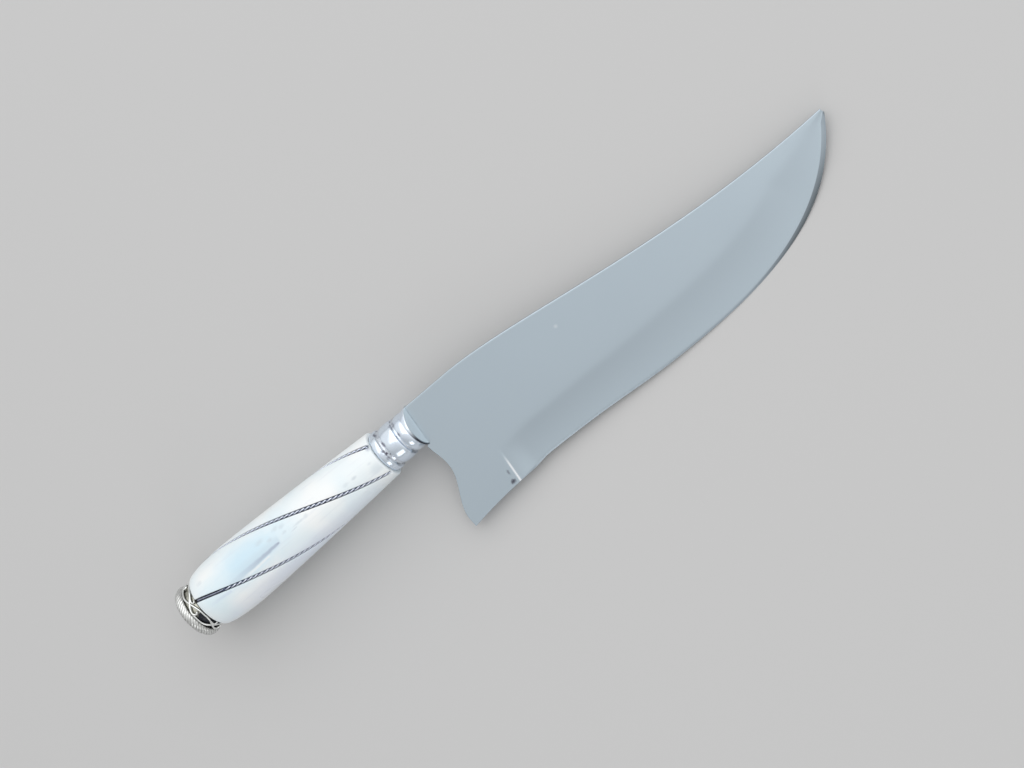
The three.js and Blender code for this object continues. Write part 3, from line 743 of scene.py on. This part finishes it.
boneFinish = dict(
    bone=(0.92, 0.945, 0.945), cool=(0.80, 0.895, 0.935), coolSpan=(0.38, 0.66),
    # the groove colour is painted shade under the wires
    vein=(0.77, 0.81, 0.86), veinSpan=(0.55, 0.75), veinWeight=0.4, groove=(0.045, 0.05, 0.095),
    coat=0.15, coatRoughness=0.2, roughness=(0.26, 0.38),
    lines=(45, 700, 700), smudges=34.0, bump=(0.05, 0.0003),
    # soft clouds: x, angle, half sizes, colour, weight
    clouds=[
        (-92, -16, (30, 13, 12), (0.58, 0.78, 0.90), 0.8),
        (-118, -5, (16, 12, 12), (0.68, 0.84, 0.91), 0.7),
        # painted shade: lilac tint along the handle's lower side
        (-75, 60, (75, 11, 13), (0.73, 0.79, 0.90), 0.75),
        (-22, 12, (5, 3.5, 3), (0.66, 0.74, 0.80), 0.5),
        (-19.8, -37, (1.6, 2.4, 2.4), (0.36, 0.40, 0.52), 0.7),
    ],
    # marks along the grain: x and angle of the front end, length, drift, half widths, hold, colour, weight
    streaks=[
        (-75.5, -8, 40, -0.6, (2.8, 4.6), 0.3, (0.60, 0.73, 0.82), 0.6),
        (-84, 4.5, 20, -0.3, (0.6, 1.2), 0.5, (0.92, 0.94, 0.94), 0.6),
        (-76.7, -3, 20, -0.5, (0.6, 1.0), 0.15, (0.34, 0.39, 0.50), 0.85),
        (-77.5, -3, 40, -0.9, (1.0, 2.6), 0.15, (0.46, 0.54, 0.65), 0.7),
        (-66, -3.7, 4.5, 0, (0.35, 0.3), 0.4, (0.62, 0.68, 0.74), 0.6),
        (-108.5, 7.2, 15, 1.0, (0.7, 1.4), 0.3, (0.62, 0.70, 0.83), 0.5),
    ],
    # small ragged spots: x, angle, half length, half width, weight
    spots=[
        (-72, -22.5, 2.4, 1.4, 0.4), (-72.3, -11, 2.0, 1.0, 0.35), (-75.3, -26.7, 2.6, 1.5, 0.4),
        (-80, -16.7, 2.4, 1.3, 0.4), (-84.7, -25.8, 3.4, 1.6, 0.4), (-120.3, -41, 2.6, 1.2, 0.28),
        (-64, -8, 4.5, 0.8, 0.4), (-60, -9, 1.8, 1.2, 0.35), (-32.3, -4.2, 2.2, 1.2, 0.55),
        (-37, -4.2, 2.6, 1.2, 0.3), (-23, -6.7, 1.6, 0.9, 0.3),
    ],
    spot=(0.55, 0.62, 0.68), spotRim=(0.8, 600.0),
)


# bone: cool clouds over a pale ground, a lilac painted shade along the lower side, veins along the grain,
# stains, and painted shade in the grooves under the wires
def boneMaterial():
    f = boneFinish
    material, shader, spot = newFinish("bone", Coat_Weight=f["coat"], Coat_Roughness=f["coatRoughness"])
    marks = polishAt(spot, f)
    cool = easeTo(marks["Smudges"], *f["coolSpan"])
    veins = easeTo(marks["Lines"], *f["veinSpan"])
    layers = [(veins, f["vein"], f["veinWeight"])]
    for x, angle, size, tint, weight in f["clouds"]:
        layers.append((stainAt(spot, onHandle(x, angle), size), tint, weight))
    for x, angle, length, drift, widths, hold, tint, weight in f["streaks"]:
        inputs = {"Front": onHandle(x, angle), "Length": length * mm, "Drift": drift * mm,
                  "Front Width": widths[0] * mm, "Rear Width": widths[1] * mm, "Hold": hold}
        layers.append((useGroup(streak, spot, inputs)["Mask"], tint, weight))
    for x, angle, long, wide, weight in f["spots"]:
        mask = stainAt(spot, onHandle(x, angle), (long, wide, 2 * wide), f["spotRim"])
        layers.append((mask, f["spot"], weight))
    # painted shade in the grooves under the wires
    layers.append((markOf(shader, "groove"), f["groove"], 1.0))
    ground = blendColour(cool, f["bone"], f["cool"])
    dress(shader, layOver(ground, layers), marks["Smudges"], f["roughness"])
    bump(shader, marks["Lines"], *f["bump"])
    return material


makePiece("handle_bone", [handleSkin()], boneMaterial(), ["handle"], 40)


# Spiral wires

wire = dict(
    diameter=1.32, lay=5.4, frontInset=0.5, rearInset=1.2, stepsPerLay=20, sides=10,
    untwists=(88, 98), dulls=(82, 96), dulling=0.6,
)


# Two strands round a middle line that lies flush with the bone. Each strand is a tube whose path circles
# that line once a lay, left-handed, and near the rear end they run side by side. The mark "crest" is how
# far a point stands above the middle line.
def wireSkins(offset):
    w = wire
    length = handle["length"] - w["frontInset"] - w["rearInset"]
    count = int(length / w["lay"] * w["stepsPerLay"])
    u = w["frontInset"] + np.linspace(0, length, count)
    radius = handleRadius(u) - w["diameter"] / 2
    angle = radians(handle["wireStart"] + offset) + wireTurn(u)
    line = around(handleFront - u, radius, angle)
    along = unit(np.gradient(line, axis=0))
    out = unit(line * [0, 1, 1])
    across = np.cross(along, out)
    twisted = np.cumsum(np.gradient(runLengths(line)) * (1 - ease(u, *w["untwists"])))
    lead = (-2 * pi * twisted / w["lay"])[:, None]
    dulled = 1 - w["dulling"] * ease(u, *w["dulls"])[:, None]
    strand = w["diameter"] / 4
    skins = []
    for turn in (0, pi):
        path = line + strand * (np.cos(lead + turn) * out + np.sin(lead + turn) * across)
        rings = tube(path, roundedEnds(path, strand), w["sides"])
        stands = np.linalg.norm(rings[..., 1:], axis=-1) - radius[:, None]
        skins.append(skin(rings, "cap", crest=dulled * np.clip(stands / (2 * strand), 0, 1)))
    return skins


wireFinish = dict(
    silver=(0.76, 0.81, 0.93), dark=(0.10, 0.12, 0.2), roughness=(0.18, 0.35),
    rubbed=(0.2, 0.62), grain=900.0, lines=900,
)


# worked silver with a dark film in its low places
def rubbedSilver(name, f):
    material, shader, spot = newFinish(name, Metallic=1.0)
    film = filmOn(shader, spot, f)
    lines = useGroup(polishMarks, spot, {"Line Scale": [f["lines"]] * 3})["Lines"]
    feed(shader.inputs["Base Color"], blendColour(film, f["silver"], f["dark"]))
    feed(shader.inputs["Roughness"], stretchTo(film, 0.0, 1.0, *f["roughness"]))
    bump(shader, lines, *marking["rubbedBump"])
    return material


wireSilver = rubbedSilver("wire_silver", wireFinish)
for number, offset in enumerate(handle["wireOffsets"], 1):
    node = f"spiral_wire_{number}"
    makePiece(f"twisted_wire_{number}", wireSkins(offset), wireSilver, [node], 60)


# Pommel

pommel = dict(
    spacerThickness=0.8, spacerBreak=0.1, breakRound=0.3,
    cupRadius=10.9, cupWall=1.1, cupFloor=2.2, cupLength=9.0, cupBreak=0.15, holeRadius=2.8,
    # span round the cup, and crest heights, of the painted shade on the under side of its outer wall
    cupShadeSide=(-0.2, 0.35), cupCrest=(0.44, 0.25),
    plateThickness=2.1, plateDome=0.5, plateBreak=0.15, plateCentre=0.05, plateRows=40,
    strand=0.92, strandSides=12, strandEnd=0.5, weave=0.3, crossing=(0.72, 0.85), bandLift=0.25,
    scrollCount=5, scrollStart=-23.4, scrollRows=(110, 44, 30, 32),  # run, curl, dip, hook
    windIn=0.3, curl=(1.45, 150), hook=(0.92, 170),  # radius, turn
    leadShare=0.8, riseShare=0.82, falls=(0.62, 1.24), fallDepth=0.95,
    hookDip=1.1, hookShare=0.85, hookAt=0.96,
    ropeGap=0.05, ropeRadius=12.9, ropeWidth=4.3, ropeDepth=0.34, ropeTurns=48, ropeSlant=8.9,
    ropeRound=0.7, ropeFade=0.3, ropeCrest=(0.31, 0.52), ropeSteps=12, ropeColumns=19,
)
handleRear = handleFront - handle["length"]
spacerFront = handleRear - fit
cupFront = spacerFront - pommel["spacerThickness"] - fit
cupRear = cupFront - pommel["cupLength"]
bandRear = cupRear + pommel["ropeWidth"] + pommel["ropeGap"]
bandMiddle = (bandRear + cupFront + pommel["bandLift"]) / 2
bandSwing = (cupFront + pommel["bandLift"] - bandRear - pommel["strand"]) / 2
bandRadius = pommel["cupRadius"] + fit + pommel["strand"] / 2
scrollSpacing = 2 * pi * bandRadius / pommel["scrollCount"]


# closed lathe profile with its corners cut back by a small break, as three points to a corner
def ringSkin(corners, breakSize, **marks):
    corners = np.asarray(corners, float)
    before = unit(np.roll(corners, 1, 0) - corners)
    after = unit(np.roll(corners, -1, 0) - corners)
    middle = pommel["breakRound"] * (before + after)
    profile = np.stack([corners + breakSize * shift for shift in (before, middle, after)], 1)
    return skin(turned(profile.reshape(-1, 2)), "loop", **marks)


def spacerSkin():
    p = pommel
    rear, inner, outer = spacerFront - p["spacerThickness"], p["holeRadius"], p["cupRadius"]
    corners = [[rear, inner], [rear, outer], [spacerFront, outer], [spacerFront, inner]]
    return ringSkin(corners, p["spacerBreak"])


# the mark "crest" is low on the under side of the outer wall, so that the film darkens it there as painted
# shade
def cupSkin():
    p = pommel
    outer, hole = p["cupRadius"], p["holeRadius"]
    bottom, inner = cupFront - p["cupFloor"], outer - p["cupWall"]
    corners = [[bottom, hole], [bottom, inner], [cupRear, inner],
               [cupRear, outer], [cupFront, outer], [cupFront, hole]]
    wallEnd = 3 * corners.index([cupFront, outer])
    crest = np.full((3 * len(corners), latheSides), p["cupCrest"][0])
    crest[wallEnd - 1:wallEnd + 1] = mix(*p["cupCrest"], ease(np.sin(circle(latheSides)), *p["cupShadeSide"]))
    return ringSkin(corners, p["cupBreak"], crest=crest)


# shallow dome: the plate's face falls off with the square of the radius
def plateSkin():
    p = pommel
    outer, cut, centre = p["cupRadius"] - p["cupWall"] - fit, p["plateBreak"], p["plateCentre"]
    radius = np.linspace(centre, outer - cut, p["plateRows"])
    face = np.stack([cupRear + p["plateDome"] * (radius / outer) ** 2, radius], -1)
    rear, front = cupRear + p["plateDome"], cupRear + p["plateThickness"]
    rim = [[rear + cut, outer], [front - cut, outer], [front, outer - cut], [front, centre]]
    return skin(turned(np.concatenate([face, rim])), "cap", crest=1.0)


# lift of a scroll across the band: it leaves the rope, runs along the handle and falls back
def scrollLift(arc):
    p = pommel
    share = arc / scrollSpacing
    rise = ease(share, -p["riseShare"] / 2, p["riseShare"] / 2)
    fall = ease(share, *p["falls"])
    return bandSwing * (2 * rise - 2 * p["fallDepth"] * fall - 1)


def bandPath(arc, lift, rise):
    return around(bandMiddle + lift, bandRadius + rise, radians(pommel["scrollStart"]) + arc / bandRadius)


# circle wound inwards from its rear, as arc and lift along the band
def windIn(arc, lift, radius, turn, count):
    share = np.linspace(0, 1, count)
    angle = -pi / 2 + radians(turn) * share
    r = radius * (1 - pommel["windIn"] * share)
    return arc + r * np.cos(angle), lift + radius + r * np.sin(angle)


# Each scroll is a strand from the rope over the crest to its curl, lying over the next scroll where it
# falls. A tendril leaves it there, dips along the handle and hooks forward. The mark "crest" is how far a
# point faces out.
def scrollSkins():
    p = pommel
    runRows, curlRows, dipRows, hookRows = p["scrollRows"]
    leave, last = scrollSpacing * np.array(p["falls"])
    turnUp = p["hookAt"] * scrollSpacing
    run = np.linspace(-p["leadShare"] * scrollSpacing, last, runRows)[:-1]
    curlArc, curlLift = windIn(last, scrollLift(last), *p["curl"], curlRows)
    arc, lift = np.r_[run, curlArc], np.r_[scrollLift(run), curlLift]
    over = p["weave"] * ease(np.arange(len(arc)) / len(run), *p["crossing"])
    dipRun = np.linspace(leave, turnUp, dipRows)
    dipLift = scrollLift(leave) - p["hookDip"] * ease(dipRun, leave, turnUp)
    hookArc, hookLift = windIn(turnUp, dipLift[-1], *p["hook"], hookRows)
    hookArc, hookLift = np.r_[dipRun[:-1], hookArc], np.r_[dipLift[:-1], hookLift]
    facing = 0.5 + 0.5 * np.cos(circle(p["strandSides"]))
    skins = []
    for start in scrollSpacing * np.arange(p["scrollCount"]):
        strands = [(bandPath(start + arc, lift, over), p["strand"]),
                   (bandPath(start + hookArc, hookLift, p["weave"]), p["strand"] * p["hookShare"])]
        for path, thick in strands:
            rings = tube(path, roundedEnds(path, thick / 2, p["strandEnd"]), p["strandSides"])
            skins.append(skin(rings, "cap", crest=facing))
    return skins


# Rim of twisted rope: round the knife the outer radius follows the size of a cosine, so that lobes meet
# in creases, leaning across the rim; across it the section is a half round on a flat inside.
def ropeSkin():
    p = pommel
    inner = p["cupRadius"] + fit
    turn = circle(p["ropeSteps"] * p["ropeTurns"])[:, None]
    tilt = np.linspace(-pi / 2, pi / 2, p["ropeColumns"])[None, :]
    lean = turn + radians(p["ropeSlant"]) * np.sin(tilt)
    lobe = np.abs(np.cos(lean * p["ropeTurns"] / 2))
    full, faded = np.cos(tilt) ** p["ropeRound"], np.cos(tilt) ** p["ropeFade"]
    radius = inner + (p["ropeRadius"] - inner - p["ropeDepth"] * (1 - lobe) * faded) * full
    x = cupRear + p["ropeWidth"] / 2 * (1 + np.sin(tilt))
    return skin(around(x, radius, turn), "loop", crest=mix(*p["ropeCrest"], lobe) * faded)


agedFinish = dict(
    silver=(0.88, 0.895, 0.88), dark=(0.21, 0.205, 0.195), roughness=(0.18, 0.4),
    rubbed=(0.1, 0.6), grain=900.0, lines=700,
)
cupFinish = dict(
    silver=(0.52, 0.52, 0.45), dark=(0.04, 0.043, 0.053), roughness=(0.3, 0.5),
    rubbed=(0.29, 0.43), grain=380.0, lines=500,
)
fibreFinish = dict(
    colours=((0.012, 0.011, 0.013), (0.03, 0.028, 0.03)), metal=0.0, roughness=(0.6, 0.85),
    lines=(1500, 1500, 1500), smudges=120.0, bump=(0.2, 0.0002),
)
resinFinish = dict(
    colours=((0.09, 0.05, 0.025), (0.15, 0.085, 0.045)), metal=0.0, roughness=(0.4, 0.6),
    lines=(400, 400, 400), smudges=120.0, bump=(0.2, 0.0002),
)
steelFinish = dict(
    colours=((0.5, 0.51, 0.52), (0.42, 0.43, 0.44)), metal=1.0, roughness=(0.3, 0.45),
    lines=(1800, 300, 300), smudges=200.0, bump=(0.1, 0.0001),
)


# pressed fibre, poured resin and plain steel: two colours mixed by smudges, on a grainy surface
def plainFinish(name, f):
    material, shader, spot = newFinish(name, Metallic=f["metal"])
    marks = polishAt(spot, f)
    dress(shader, blendColour(marks["Smudges"], *f["colours"]), marks["Lines"], f["roughness"])
    bump(shader, marks["Lines"], *f["bump"])
    return material


agedSilver = rubbedSilver("aged_silver", agedFinish)
# on the cup the dark film is oxide, and its extra darkness on the under side is painted shade
darkSilver = rubbedSilver("dark_silver", cupFinish)
blackFibre = plainFinish("black_fibre", fibreFinish)
makePiece("spacer_fibre", [spacerSkin()], blackFibre, ["rear_spacer"])
makePiece("cup_dark", [cupSkin()], darkSilver, ["pommel_cup"])
makePiece("filigree_scrolls", scrollSkins(), agedSilver, ["filigree_band"], 60)
makePiece("rope_twisted", [ropeSkin()], agedSilver, ["rope_rim"], 60)
makePiece("butt_plate", [plateSkin()], agedSilver, ["end_plate"])

# hidden pieces keep their shapes and get their finishes
cutlersResin = plainFinish("cutlers_resin", resinFinish)
plainSteel = plainFinish("plain_steel", steelFinish)
for node, material in (("tang_bed", cutlersResin), ("tang_washer", plainSteel), ("tang_nut", plainSteel)):
    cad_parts[node].data.materials.clear()
    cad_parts[node].data.materials.append(material)
print("finishes on the hidden pieces")


# Floor, light and camera

# the knife lies on its handle's swell, heel and tip, so the floor slopes a little against its axes
floor = dict(slope=(0.0405, -0.202), size=4000, colour=(0.56, 0.56, 0.56), roughness=0.9)


# highest plane of the given slope that has the whole knife above it
def layFloor():
    slope = np.array([*floor["slope"], -1.0])
    drops = []
    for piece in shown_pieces():
        points = np.empty(3 * len(piece.data.vertices))
        piece.data.vertices.foreach_get("co", points)
        drops.append(np.max(points.reshape(-1, 3) @ slope))
    square = floor["size"] * mm * np.array([[-1, -1], [1, -1], [1, 1], [-1, 1]])
    level = square @ slope[:2] - max(drops)
    mesh = bpy.data.meshes.new("floor")
    mesh.from_pydata(np.column_stack([square, level]).tolist(), [], [(0, 1, 2, 3)])
    colour = (*floor["colour"], 1)
    material, shader, _ = newFinish("floor", Roughness=floor["roughness"], Base_Color=colour)
    tree = material.node_tree
    behind = addNode(tree, "ShaderNodeNewGeometry").outputs["Backfacing"]
    clear = addNode(tree, "ShaderNodeBsdfTransparent").outputs[0]
    seen = addNode(tree, "ShaderNodeMixShader", {0: behind, 1: shader.outputs[0], 2: clear}).outputs[0]
    feed(tree.nodes["Material Output"].inputs["Surface"], seen)
    mesh.materials.append(material)
    plane = addObject("floor", mesh)


light = dict(
    level=0.87, rise=(0.43, 0.43, 0.0), limits=(0.45, 0.88), horizon=0.457, horizonTop=0.3,
    # aim on the knife, direction, distance, width, power
    key=((40, -15, 0), (0.3, 0.6, 0.75), 1.2, 1.7, 6.4),
    fill=((-40, 0, 0), (-0.27, -0.80, 0.54), 0.8, 0.3, 0.38),
)


# soft dome, brighter towards the tip and the spine's side, that falls to the floor's tone at the floor
def lightDome():
    world = bpy.data.worlds.new("studio")
    bpy.context.scene.world = world
    world.use_nodes = True
    tree = world.node_tree
    tree.nodes.clear()
    direction = addNode(tree, "ShaderNodeTexCoord").outputs["Generated"]
    level = calc("ADD", vectorCalc("DOT_PRODUCT", direction, light["rise"]), light["level"])
    least, most = light["limits"]
    held = addNode(tree, "ShaderNodeClamp", {"Value": level, "Min": least, "Max": most}).outputs[0]
    slopeX, slopeY = floor["slope"]
    upward = vectorCalc("DOT_PRODUCT", direction, unit([-slopeX, -slopeY, 1.0]))
    strength = easeTo(upward, 0.0, light["horizonTop"], light["horizon"], held)
    dome = addNode(tree, "ShaderNodeBackground", {"Color": (1, 1, 1, 1), "Strength": strength})
    addNode(tree, "ShaderNodeOutputWorld", {"Surface": dome.outputs[0]})


# lamp or camera at a place in metres; it looks against the last of its three axes
def hang(name, data, where, *axes):
    made = addObject(name, data)
    made.matrix_world = Matrix.Translation(where) @ Matrix(np.column_stack(axes).tolist()).to_4x4()
    return made


# square lamp that faces its aim
def areaLamp(name):
    aim, direction, distance, width, power = light[name]
    lamp = bpy.data.lights.new(name, "AREA")
    lamp.size, lamp.energy = width, power
    back = unit(direction)
    side = unit(np.cross([0, 0, 1.0], back))
    hung = hang(name, lamp, place(aim) + distance * back, side, np.cross(back, side), back)
    hung.visible_camera = False


view = dict(
    lens=63.28, sensor=36, lean=(15.5, 5.0), roll=40.0111,
    target=(44.856, -12.895, 0), distance=763.776, clip=(0.01, 50),
)


# the camera leans off the blade's square by two angles, then rolls about its own axis
def setCamera():
    back = unit([*np.tan(np.radians(view["lean"])), 1])
    level = unit([1.0, 0, 0] - back[0] * back)
    upright = np.cross(back, level)
    roll = radians(view["roll"])
    right = np.cos(roll) * level - np.sin(roll) * upright
    up = np.sin(roll) * level + np.cos(roll) * upright
    lens = bpy.data.cameras.new("camera")
    lens.lens, lens.sensor_width, lens.sensor_fit = view["lens"], view["sensor"], "HORIZONTAL"
    lens.clip_start, lens.clip_end = view["clip"]
    where = place(view["target"] + view["distance"] * back)
    bpy.context.scene.camera = hang("camera", lens, where, right, up, back)


layFloor()
lightDome()
areaLamp("key")
areaLamp("fill")
setCamera()
bpy.context.scene.view_settings.view_transform = "Standard"
print("floor, light and camera")
